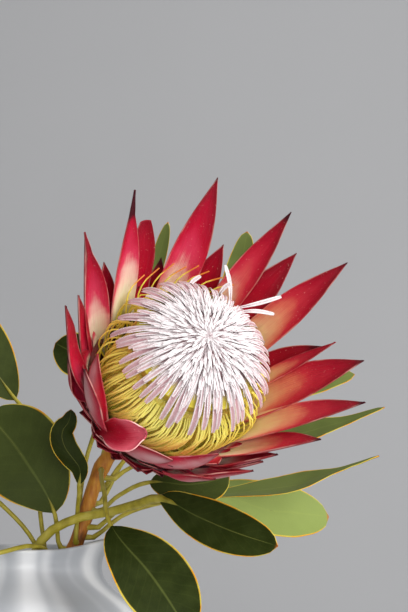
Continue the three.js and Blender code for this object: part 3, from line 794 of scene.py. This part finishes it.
# The spoon's ramp is its red plus painted light: darker a little past its foot as painted shade in the
# hollow, and pale at its tip as a painted highlight.
SPOON_PAINTED_LIGHT_STOPS = [(0.5, 204, 30, 58), (0.7, 176, 0, 34), (0.88, 186, 20, 52),
               (1.0, 222, 96, 112)]
BRACT_SPOON = bract_finish("bract_spoon", SPOON_PAINTED_LIGHT_STOPS, SPOON_PAINTED_LIGHT_STOPS, srgb(255, 206, 198), 0, 0.9)
RED_BACK = [
    (0.05, 130, 34, 36), (0.25, 186, 24, 52), (0.5, 208, 20, 62),
    (0.75, 200, 8, 54), (1.0, 150, 0, 32)]
BRACT_OUTER = bract_finish("bract_outer", RED_BACK, RED_BACK, srgb(250, 214, 200), 0.85, 0.7)
SCALE_BACK = [
    (0.1, 84, 36, 24), (0.4, 122, 24, 32), (0.7, 110, 8, 26), (0.95, 54, 8, 16)]
SCALE_OUTER = bract_finish("scale_outer", SCALE_BACK, SCALE_BACK, srgb(150, 90, 70), 0.3)

# %% [markdown]
# ## Bracts
# The long bracts stand in overlapping rows around the cup, each a stiff strip that is broad from its foot
# and draws out into a point. There is one blank for each kind of tip, with a shallow trough along it.
# Short scales clothe the cup below like tiles. The cup is turned, and all is one piece, as on the plant.

# %% Bract shapes
ROW_STEP = 3
ROOT_HEIGHT = 42
BRACT_THICKNESS = 1.2
# Angle, height of the tip, row, width, dryness (less than 0 puts the cream on the other side) and how
# early the flush starts. Some rows go on with the share of the length that is a withered tail (less than
# 0 makes a blunt tip), lean of the tip over the florets, sway round the head, and turn of the face.
LONG_BRACTS = [
    (127, 147, 0, 22, 0.3, 0.12), (163, 146, 0, 18, -1, 0, 0.08), (153, 118, 1, 21, 0.1, 0.4, -0.12),
    (186, 149, 0, 16, 0.2, 0.15, 0.1, -2, 8, -30), (192, 140, 1, 17, 0.5, 0.5),
    (220, 138, 2.5, 13, 0.4, 0.5, 0, 0, 0, -22), (203, 113, 1, 13, 0.2, 0.5, 0, 0, 0, -8),
    (220, 82, 3, 18, 0.6, 0.5, 0, 0, 0, -15), (245, 95, 0, 23, 0, 0.3, 0, 8, -22),
    (247, 126, 2, 22, 0.5, 0.3, 0, 0, -6, -5), (276, 88, 1, 22, 0.2, 0.2, 0, 2, 19),
    (297, 102, 1, 22, 0.1, 0.1, 0, 8, 17), (322, 91, 3, 20, 0.5, 0.3, 0, 0, 12),
    (341, 84, 3, 18, 0.4, 0.3, 0, 0, 4), (338, 99, 2, 19, 0.6, 0.2, 0, 0, 7),
    (348, 132, 1, 22, 0.7, 0.1), (4, 151, 0, 22, 0.7, 0.05), (26, 141, 0, 26, 0.6, 0.2),
    (39, 126, -1, 9, 0.1, 0), (54, 113, 1, 12, 0.9, 0.6, 0, 0, -12), (66, 148, 0, 20, 0.6, 0.05),
    (83, 126, 1, 20, 0.3, 0.5), (95, 145, 0, 17, 0.8, 0.1), (111, 106, 1, 19, 0.2, 0.5),
    (50, 88, 2, 19, 0.2, 0.5), (172, 98, 2, 18, 0.2, 0.5), (12, 104, 2, 19, 0.3, 0.5),
    (308, 88, 3, 19, 0.5, 0.3, 0, 0, 8), (138, 90, 1, 15, 0.9, 0.6),
]
# One bract has curled round like a spoon: its angle, its points, the side its hollow looks to, its width.
SPOON_ANGLE = 258
SPOON = [(44, 42, 250), (49, 58, 258), (52, 72, 268), (51, 84, 277)]
SPOON_FACE = (0.56, 0.83, 270)
SPOON_WIDTH = 17
SCALE_LENGTH = 21
LOW_STAND_OFF = 6.5
HIGH_STAND_OFF = 3.4
# Number of scales in a row, height of their tips, width.
SCALE_ROWS = [
    (12, 73, 20), (13, 65, 19), (12, 57, 20), (12, 49, 19), (10, 41, 19), (9, 33, 17), (8, 26, 15),
    (6, 20, 11),
]


def bract_share(tail):
    """Half width along a bract: broad from its foot, then a long point that may end in a thin tail."""
    least = 0.22 if tail > 0 else 0.04

    def share(x):
        point = math.sin(min(1, max(0, 1 - tail - x) / 0.5) * math.pi / 2)
        return mix(0.72, 1, ramp(x, 0, 0.35)) * max(least * (1 - 0.75 * ramp(x, 0.85, 1)), point)
    return share


def spoon_share(x):
    blunt = max(0.15, math.cos(max(0, x - 0.82) / 0.18 * math.pi / 2)) ** 0.5
    return mix(0.4, 1, ramp(x, 0.2, 0.7)) * blunt


def scale_share(x):
    return max(0.05, math.cos(max(0, x - 0.35) / 0.65 * math.pi / 2) ** 0.8)


def bract_reach(height, row):
    return 49.3 + BRACT_FLARE * (height - CUP_RIM) + ROW_STEP * row


def bract_piece(blank, points, up, width, tone, early=0):
    piece = sized(blank, "bract", tone, width / 2, width / 2)
    for item in piece.data.attributes["growth"].data:
        item.vector.x = mix(early, 1, item.vector.x)
    return thickened(lay_in_head(piece, points, up), BRACT_THICKNESS, 1)


bract_rows = [(*row, *[0] * (10 - len(row))) for row in LONG_BRACTS]
bract_blanks = {}
for tail in sorted({row[6] for row in bract_rows}):
    bract_blanks[tail] = strip("bract_blank", 32, 10, bract_share(tail), lambda x: 0.32)
spoon_blank = strip("spoon_blank", 32, 12, spoon_share, lambda x: mix(0.5, 0.9, x))
scale_blank = strip("scale_blank", 10, 6, scale_share, lambda x: 0.12)
blanks = (*bract_blanks.values(), spoon_blank, scale_blank)
for blank in blanks:
    thick_middle(blank, 0.45)
    coat(blank, BRACT_SPOON if blank is spoon_blank else BRACT_INNER,
         SCALE_OUTER if blank is scale_blank else BRACT_OUTER)

bracts = []
for angle, tip, row, width, dryness, early, tail, lean, sway, turn in bract_rows:
    mid = mix(ROOT_HEIGHT, tip, 0.42)
    high = mix(ROOT_HEIGHT, tip, 0.75)
    points = [
        polar(cup_radius(ROOT_HEIGHT) - 1.2, ROOT_HEIGHT, angle),
        polar(bract_reach(mid, row) - 0.5, mid, angle + sway * 0.3),
        polar(bract_reach(high, row) - 0.35 * lean, high, angle + sway * 0.65),
        polar(bract_reach(tip, row) - lean, tip, angle + sway),
    ]
    face = polar(-1, 0.15, angle + sway * 0.4 + turn)
    bracts.append(bract_piece(bract_blanks[tail], points, face, width, dryness, early))
spoon_points = [polar(*point) for point in SPOON]
bracts.append(bract_piece(spoon_blank, spoon_points, polar(*SPOON_FACE), SPOON_WIDTH, 0, 0.5))
for ring, (count, tip, width) in enumerate(SCALE_ROWS):
    for i in range(count):
        angle = 360 * (i + 0.5 * (ring % 2)) / count + rng.uniform(-3, 3)
        top = tip + rng.uniform(-2, 2)
        # The spoon takes the place of the highest scales on its side.
        if top > 55 and abs(angle - SPOON_ANGLE) < 16:
            continue
        off = mix(LOW_STAND_OFF, HIGH_STAND_OFF, ramp(top, 50, 70)) + rng.uniform(-1, 1)
        points = [
            polar(cup_radius(top - SCALE_LENGTH) - 1, max(1, top - SCALE_LENGTH), angle),
            polar(cup_radius(top - 9) + 0.45 * off, top - 9, angle),
            polar(cup_radius(top) + off, top, angle),
        ]
        bracts.append(bract_piece(scale_blank, points, polar(-1, 0.1, angle), width, rng.random()))
cup = turned("cup", CUP_OUTSIDE + CUP_INSIDE, 40)
mark_growth(cup)
cup.matrix_world = HEAD
coat(cup, SCALE_OUTER)
bracts = smooth(joined([*bracts, cup], "red_bracts"), 50)
discard(*blanks)
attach(bracts, "root")
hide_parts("bracts")
print("bracts:", len(bracts.data.polygons), "faces")

# %% [markdown]
# ## Styles
# Inside the bracts stands a thick column of golden styles. Each style grows up from the cup, bows outwards
# and curls back under the florets, which still hold its tip. They are thin tubes, all copies of one
# straight strand, laid around a turned column. On the side that faces down they sweep round the head. A
# few have come loose at the top and end in an orange tip. The strands and the column are painted lighter
# on the side that faces down, and the column darker on the other, as painted light and shade.

# %% Style finish
gold = Finish("golden_style", Specular_IOR_Level=0.3)
along, _, tone = gold.growth()
grain = gold.noise(gold.place(), 240, 3)
wax = gold.ramp(along + (grain - 0.5) * 0.3, [
    (0.02, 204, 194, 44), (0.25, 232, 222, 62), (0.55, 246, 236, 92), (0.8, 248, 238, 104),
])
# Painted light: tone is lowest on the low side, so the strands there are mixed towards pale yellow;
# elsewhere it varies at random.
wax = gold.blend((1 - tone) * 0.5, wax, srgb(255, 250, 150))
orange_tip = (along + (grain - 0.5) * 0.2).clear(0.72, 0.9) * tone.clear(0.94, 0.98)
wax = gold.blend(orange_tip, wax, srgb(214, 128, 50))
GOLD = gold.paint(wax, roughness=grain * 0.3 + 0.3, height=grain, depth=0.0002)

core = Finish("style_column", Specular_IOR_Level=0.35)
x, y, height = core.growth()
grain = core.noise(core.point(x * 1600, y * 1600, height * 120), 1, 4)
# The column is painted lighter on its low side and darker on its high side, as painted light and painted
# shade.
painted_column_light = core.ramp(grain, [(0.3, 232, 222, 84), (0.5, 246, 238, 110), (0.68, 254, 248, 150)])
shaded = core.ramp(grain, [(0.3, 156, 132, 24), (0.5, 198, 178, 46), (0.68, 226, 212, 80)])
painted_column_light = core.blend(y.clear(-0.03, 0.015), painted_column_light, shaded)
COLUMN = core.paint(painted_column_light, roughness=grain * 0.3 + 0.4, height=grain, depth=0.0012)

# %% Style shapes
BOWED_STYLES = 200
COLUMN_PROFILE = [(15.8, 25.3), (27.6, 29.5), (36.6, 38.4), (38.5, 46), (37.2, 60), (36.6, 78), (36, 95)]
# Angle of a loose style, and the distance and height of its tip.
LOOSE_STYLES = [
    (100, 57, 98), (108, 57.5, 98), (117, 57, 99), (124, 58, 100), (131, 57, 98), (139, 58, 99),
    (148, 57, 97), (158, 56, 95),
]
strand_blank = tube("strand_blank", 9, 5, lambda x: 1)
coat(strand_blank, GOLD)


def strand(points, radius, tone):
    return lay_in_head(sized(strand_blank, "strand", tone, radius, radius), points)


styles = []
for i in range(BOWED_STYLES):
    # They stand closer together on the low side.
    angle = 360 * i / BOWED_STYLES + rng.uniform(-2, 2)
    angle -= 20 * math.sin(math.radians(angle - 285))
    low_side = max(0, math.cos(math.radians(angle - 285))) ** 2
    sweep = rng.uniform(-3, 5) + 20 * low_side
    left_side = max(0, math.cos(math.radians(angle - 200))) ** 2
    bow = mix(rng.uniform(41, 51), rng.uniform(44, 47), low_side) - 3 * left_side
    foot = rng.uniform(42, 58)
    # The tone given here falls on the low side, where the style finish paints the strands lighter as painted
    # light.
    styles.append(strand([
        polar(37, foot, angle - sweep),
        polar(mix(37, bow, 0.75), 61, angle - 0.6 * sweep),
        polar(bow, 74 + rng.uniform(-5, 4), angle - 0.25 * sweep + rng.uniform(-2, 2)),
        polar(bow - 2.2, 84 + rng.uniform(-1, 2), angle),
        polar(36, 90 + rng.uniform(-1, 2), angle),
    ], rng.uniform(0.38, 0.52) + 0.12 * low_side, (1 - low_side) * rng.uniform(0.4, 0.9)))
for angle, radius, height in LOOSE_STYLES:
    styles.append(strand([
        polar(36, 62, angle + 10), polar(45, 73, angle + 9), polar(52, 88, angle + 6),
        polar(radius - 2, height, angle - 3),
    ], 0.42, 1))
column = turned("column", COLUMN_PROFILE, 48)
mark_growth(column, lambda co: co)
column.matrix_world = HEAD
coat(column, COLUMN)
styles = smooth(joined([*styles, column], "golden_styles"), 60)
discard(strand_blank)
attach(styles, "root")
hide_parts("styles")
print("styles:", BOWED_STYLES + len(LOOSE_STYLES), "strands,", len(styles.data.polygons), "faces")

# %% [markdown]
# ## Crown finish
# The florets close over the styles as flat ribbons. A ribbon is mauve pink down its middle, and a fringe
# of white hairs stands along both edges and thickens towards the top of the dome, where all turns white.
# The side of the crown that is turned from the light is painted pinker and the lit side whiter, as painted
# shade and light.


# %% Crown finish
floret = Finish("floret", Specular_IOR_Level=0.2)
along, across, tone = floret.growth()
hairs = floret.noise(floret.point(along * 6, across * 3, tone * 40), 5, 3)
fuzz = floret.noise(floret.place(), 1100, 2)
# Painted light: whiteness grows towards the lit side of the crown.
lit = floret.split(floret.place())[0].clear(0.04, 0.1) * 0.48 + 0.52
fringe = (abs(across) + (hairs - 0.5) * 0.9).clear(0.3, 0.95)
inner = (1 - along.clear(0.05, 0.6)) * (1 - tone)
upper = tone * along.clear(0.1, 0.5)
whiteness = (fringe * 0.62 + inner * 0.4 + upper * 0.9) * lit
flesh = floret.ramp(along + (hairs - 0.5) * 0.2, [
    (0.3, 136, 98, 104), (0.6, 174, 134, 138), (0.97, 198, 160, 162), (1.0, 204, 156, 142),
])
velvet = floret.blend(whiteness.clear(0, 1), flesh, srgb(234, 228, 228))
FLORET = floret.paint(velvet, roughness=hairs * 0.2 + 0.65, height=hairs * 0.6 + fuzz, depth=0.0004)

down = Finish("white_hair", Specular_IOR_Level=0.2)
tint = down.noise(down.place(), 500, 2)
WHITE_HAIR = down.paint(
    down.blend(tint, srgb(240, 236, 236), srgb(216, 204, 206)), roughness=tint * 0.2 + 0.6)

gap = Finish("floret_shade", Specular_IOR_Level=0.2)
out = gap.growth()[0]
dust = gap.noise(gap.place(), 400, 4)
lit = gap.split(gap.place())[0].clear(0.05, 0.1)
# The dome's mauve brown is painted shade between the ribbons, paler towards the lit side as painted light.
painted_gap_shade = gap.blend(dust, gap.blend(lit, srgb(96, 54, 60), srgb(170, 146, 148)), srgb(160, 124, 128))
painted_gap_shade = gap.blend(out.clear(0.028, 0.035), painted_gap_shade, gap.blend(dust, srgb(176, 156, 40), srgb(232, 216, 90)))
FLORET_SHADE = gap.paint(painted_gap_shade, roughness=dust * 0.2 + 0.7, height=dust, depth=0.0006)

# %% [markdown]
# ## Crown shape
# The ribbons lie on the dome in tiers, the lowest reaching out past the rim as free blunt fingers and
# each higher one ending nearer the top. A tier needs only a few variants, which are copied and turned
# round the axis. Some florets have sprung away on one side.

# %% Ribbons
CROWN_RADIUS = 47
CROWN_RIM = 90
CROWN_HEIGHT = 27
RIBBON_THICKNESS = 0.55
# Number of ribbons, radius of their outer ends, of their inner ends, height over the dome, width, tone.
TIERS = [
    (47, 47.2, 18, 0.3, 3.5, 0.0), (47, 41, 17, 0.9, 2.3, 0.3), (47, 35.5, 22, 1.4, 1.8, 0.5),
    (56, 33, 23, 1.4, 1.4, 0.6),
    (54, 30, 20, 1.5, 1.35, 0.65), (50, 26.5, 17, 1.6, 1.3, 0.7), (44, 23, 14, 1.7, 1.3, 0.8),
    (38, 19.5, 10.5, 1.8, 1.2, 0.85), (30, 16, 7, 1.9, 1.2, 0.9), (22, 12, 3.5, 2.0, 1.1, 1.0),
    (14, 8, 0.5, 2.1, 1.1, 1.0),
]
VARIANTS = 6
# Florets that have sprung away: root, middle and end, by distance, height and angle.
LOOSE_FLORETS = [
    [(38, 100, 90), (47, 107, 101), (53.5, 112, 109)], [(39, 97, 130), (44, 101, 126), (46.5, 104.5, 121.5)],
    [(38, 103, 87), (48.5, 109, 77), (58.5, 115, 72)], [(38, 102, 84), (45.5, 106, 74), (52, 109, 66)],
    [(40, 101, 104), (44, 106, 103), (46, 109, 101)],
]


def dome_height(radius):
    return CROWN_RIM + CROWN_HEIGHT * (1 - (radius / (CROWN_RADIUS + 0.4)) ** 2) ** 0.62


def ribbon_share(x):
    blunt = min(1, (1 - x) / 0.04 + 0.65)
    return mix(0.4, 1, ramp(x, 0, 0.55)) * mix(1, 0.82, ramp(x, 0.7, 1)) * blunt


def pointed_share(x):
    return mix(0.5, 1, ramp(x, 0, 0.4)) * mix(1, 0.3, ramp(x, 0.5, 1))


ribbon_blank = strip("ribbon_blank", 12, 4, ribbon_share, lambda x: 0.5)
hairy_blank = strip("hairy_blank", 8, 4, pointed_share, lambda x: 0.5)
for blank in (ribbon_blank, hairy_blank):
    thick_middle(blank, 0.6)
    coat(blank, FLORET)


def ribbon(blank, points, up, width, tone):
    piece = sized(blank, "ribbon", tone, width / 2, width / 2)
    return thickened(lay_along(piece, metres(points), up), RIBBON_THICKNESS)


def turned_copy(piece, angle):
    """A copy turned round the head's axis."""
    twin = copied(piece, piece.name)
    twin.matrix_world = HEAD @ Matrix.Rotation(math.radians(angle), 4, "Z")
    return twin


crown = []
for tier, (count, outer, inner, lift, width, tone) in enumerate(TIERS):
    variants = []
    for variant in range(VARIANTS):
        reach = outer - rng.uniform(0, 2.2 if tier == 0 else 3.5)
        bend = rng.uniform(-2.4, 2.4)
        radii = [mix(inner, reach, t) for t in (0, 0.3, 0.6, 0.85, 1)]
        rise = [0, 0, 0, 0.3, rng.uniform(0.2, 1.2)]
        if tier > 1:
            rise = [0, 0.2, 0.5, 1, rng.uniform(0.8, 2.6)]
        points = [
            Vector((r, bend * (r / reach) ** 3, dome_height(r) + lift + more))
            for r, more in zip(radii, rise)
        ]
        middle = mix(inner, reach, 0.6)
        slope = dome_height(middle + 0.5) - dome_height(middle - 0.5)
        variants.append(ribbon(
            ribbon_blank if tier < 2 else hairy_blank, points, Vector((-slope, 0, 1)),
            width * rng.uniform(0.85, 1.1), tone))
    # The three lowest tiers share their angles, so that the gaps between the fingers stay open.
    jitter = random.Random(max(tier, 2))
    for i in range(count):
        angle = 360 * i / count + jitter.uniform(-1.6, 1.6) * (1 if tier < 3 else 1 + 0.3 * tier)
        crown.append(turned_copy(rng.choice(variants), angle))
    discard(*variants)
for points in LOOSE_FLORETS:
    up = polar(-0.3, 1, points[1][2])
    piece = ribbon(ribbon_blank, [polar(*point) for point in points], up, 2.3, 0.6)
    piece.matrix_world = HEAD
    crown.append(piece)
discard(ribbon_blank, hairy_blank)
print("ribbons:", len(crown))

# %% [markdown]
# The hairs are slender three-sided cones. They stand at random over the middle of the dome, leaning to its
# top, and thin out towards the ribbons. Under everything lies the dome itself, painted dark as the shade
# between the ribbons, paler on the lit side, and yellow at its rim.

# %% Hairs and dome
HAIRS = 900
HAIR_LENGTH = 7
HAIR_RADIUS = 0.18
HAIR_SPREAD = 38
TUFT_RADIUS = 7
select_nothing()
bpy.ops.mesh.primitive_cone_add(
    vertices=3, radius1=HAIR_RADIUS * MM, radius2=0, depth=HAIR_LENGTH * MM,
    location=(0, 0, HAIR_LENGTH / 2 * MM))
hair_blank = settled(added("hair_blank"))
coat(hair_blank, WHITE_HAIR)
for i in range(HAIRS):
    radius = HAIR_SPREAD * rng.random() ** 0.75
    angle = rng.uniform(0, 360)
    slope = dome_height(radius - 0.5) - dome_height(radius + 0.5)
    place = polar(radius, dome_height(radius) + 1.6, angle)
    way = polar(-1, slope + rng.uniform(-0.05, 0.3), angle + rng.uniform(-20, 20))
    if radius < TUFT_RADIUS:
        way = Vector((rng.uniform(-1, 1), rng.uniform(-1, 1), rng.uniform(0.1, 0.8)))
    hair = copied(hair_blank, "hair")
    turn = way.to_track_quat("Z", "Y").to_matrix().to_4x4()
    hair.matrix_world = HEAD @ Matrix.Translation(place * MM) @ turn
    crown.append(hair)
discard(hair_blank)

DOME_RINGS = [37, 32, 26, 20, 13, 6, 1]
dome = turned("dome", [(34, 95.3), (36.5, 98.5)] + [(r, dome_height(r) - 1.3) for r in DOME_RINGS], 48)
mark_growth(dome, lambda co: (math.hypot(co.x, co.y), 0, 0))
coat(dome, FLORET_SHADE)
dome.matrix_world = HEAD
crown = smooth(joined([*crown, dome], "white_crown"), 50)
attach(crown, "root")
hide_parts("crown")
print("crown:", len(crown.data.polygons), "faces")

# %% [markdown]
# ## Floor, wall and light
# The floor runs back and curves up into the wall, so no edge shows behind the flower. It is a plane whose
# far edge is extruded step by step. From behind the wall is clear, so that the flower can be looked at from
# that side too. One large soft light from the upper right and in front gives the form, two weaker ones,
# level and low in front, open the shadows, and the sky fills the rest.

# %% Floor and wall
select_nothing()
bpy.ops.mesh.primitive_plane_add(size=1)
backdrop = added("backdrop")
backdrop.scale = (7, 4, 1)
backdrop.location = (0, -1.35, 0)
settled(backdrop)
enter_edit()
pick(backdrop, lambda co: co.y > 0)
COVE_STEPS = 8
COVE_RADIUS = 0.5
for step in range(COVE_STEPS):
    first = math.radians(90 * step / COVE_STEPS)
    second = math.radians(90 * (step + 1) / COVE_STEPS)
    out = COVE_RADIUS * (math.sin(second) - math.sin(first))
    up = COVE_RADIUS * (math.cos(first) - math.cos(second))
    bpy.ops.mesh.extrude_region_move(TRANSFORM_OT_translate={"value": (0, out, up)})
bpy.ops.mesh.extrude_region_move(TRANSFORM_OT_translate={"value": (0, 0, 2.5)})
bpy.ops.mesh.select_all(action="SELECT")
bpy.ops.mesh.normals_make_consistent(inside=True)
leave_edit()
smooth(backdrop)
paper = Finish("backdrop_paper", Specular_IOR_Level=0.1)
fibre = paper.noise(paper.place(), 3, 2)
behind = paper.node("ShaderNodeNewGeometry", output="Backfacing")
paper.feed(paper.surface.inputs["Alpha"], 1 - behind)
coat(backdrop, paper.paint(
    paper.blend(fibre, srgb(186, 186, 187), srgb(180, 180, 181)), roughness=fibre * 0.05 + 0.85))


# %% Light
def soft_light(name, place, target, size, power):
    select_nothing()
    bpy.ops.object.light_add(type="AREA", location=place)
    light = added(name)
    light.rotation_euler = (Vector(target) - Vector(place)).to_track_quat("-Z", "Y").to_euler()
    light.data.size = size
    light.data.energy = power
    return light


FLOWER = (0.08, -0.07, 0.3)
soft_light("key", (0.95, -0.7, 1.0), FLOWER, 0.7, 20)
soft_light("front", (0.25, -1.5, 0.3), FLOWER, 0.9, 8)
soft_light("low", (0.35, -0.9, 0.06), FLOWER, 0.6, 3)
world = bpy.data.worlds.new("sky")
bpy.context.scene.world = world
world.use_nodes = True
sky = world.node_tree.nodes["Background"]
sky.inputs["Color"].default_value = (0.97, 0.98, 1, 1)
sky.inputs["Strength"].default_value = 0.42
print("lights: key, front, low and sky")
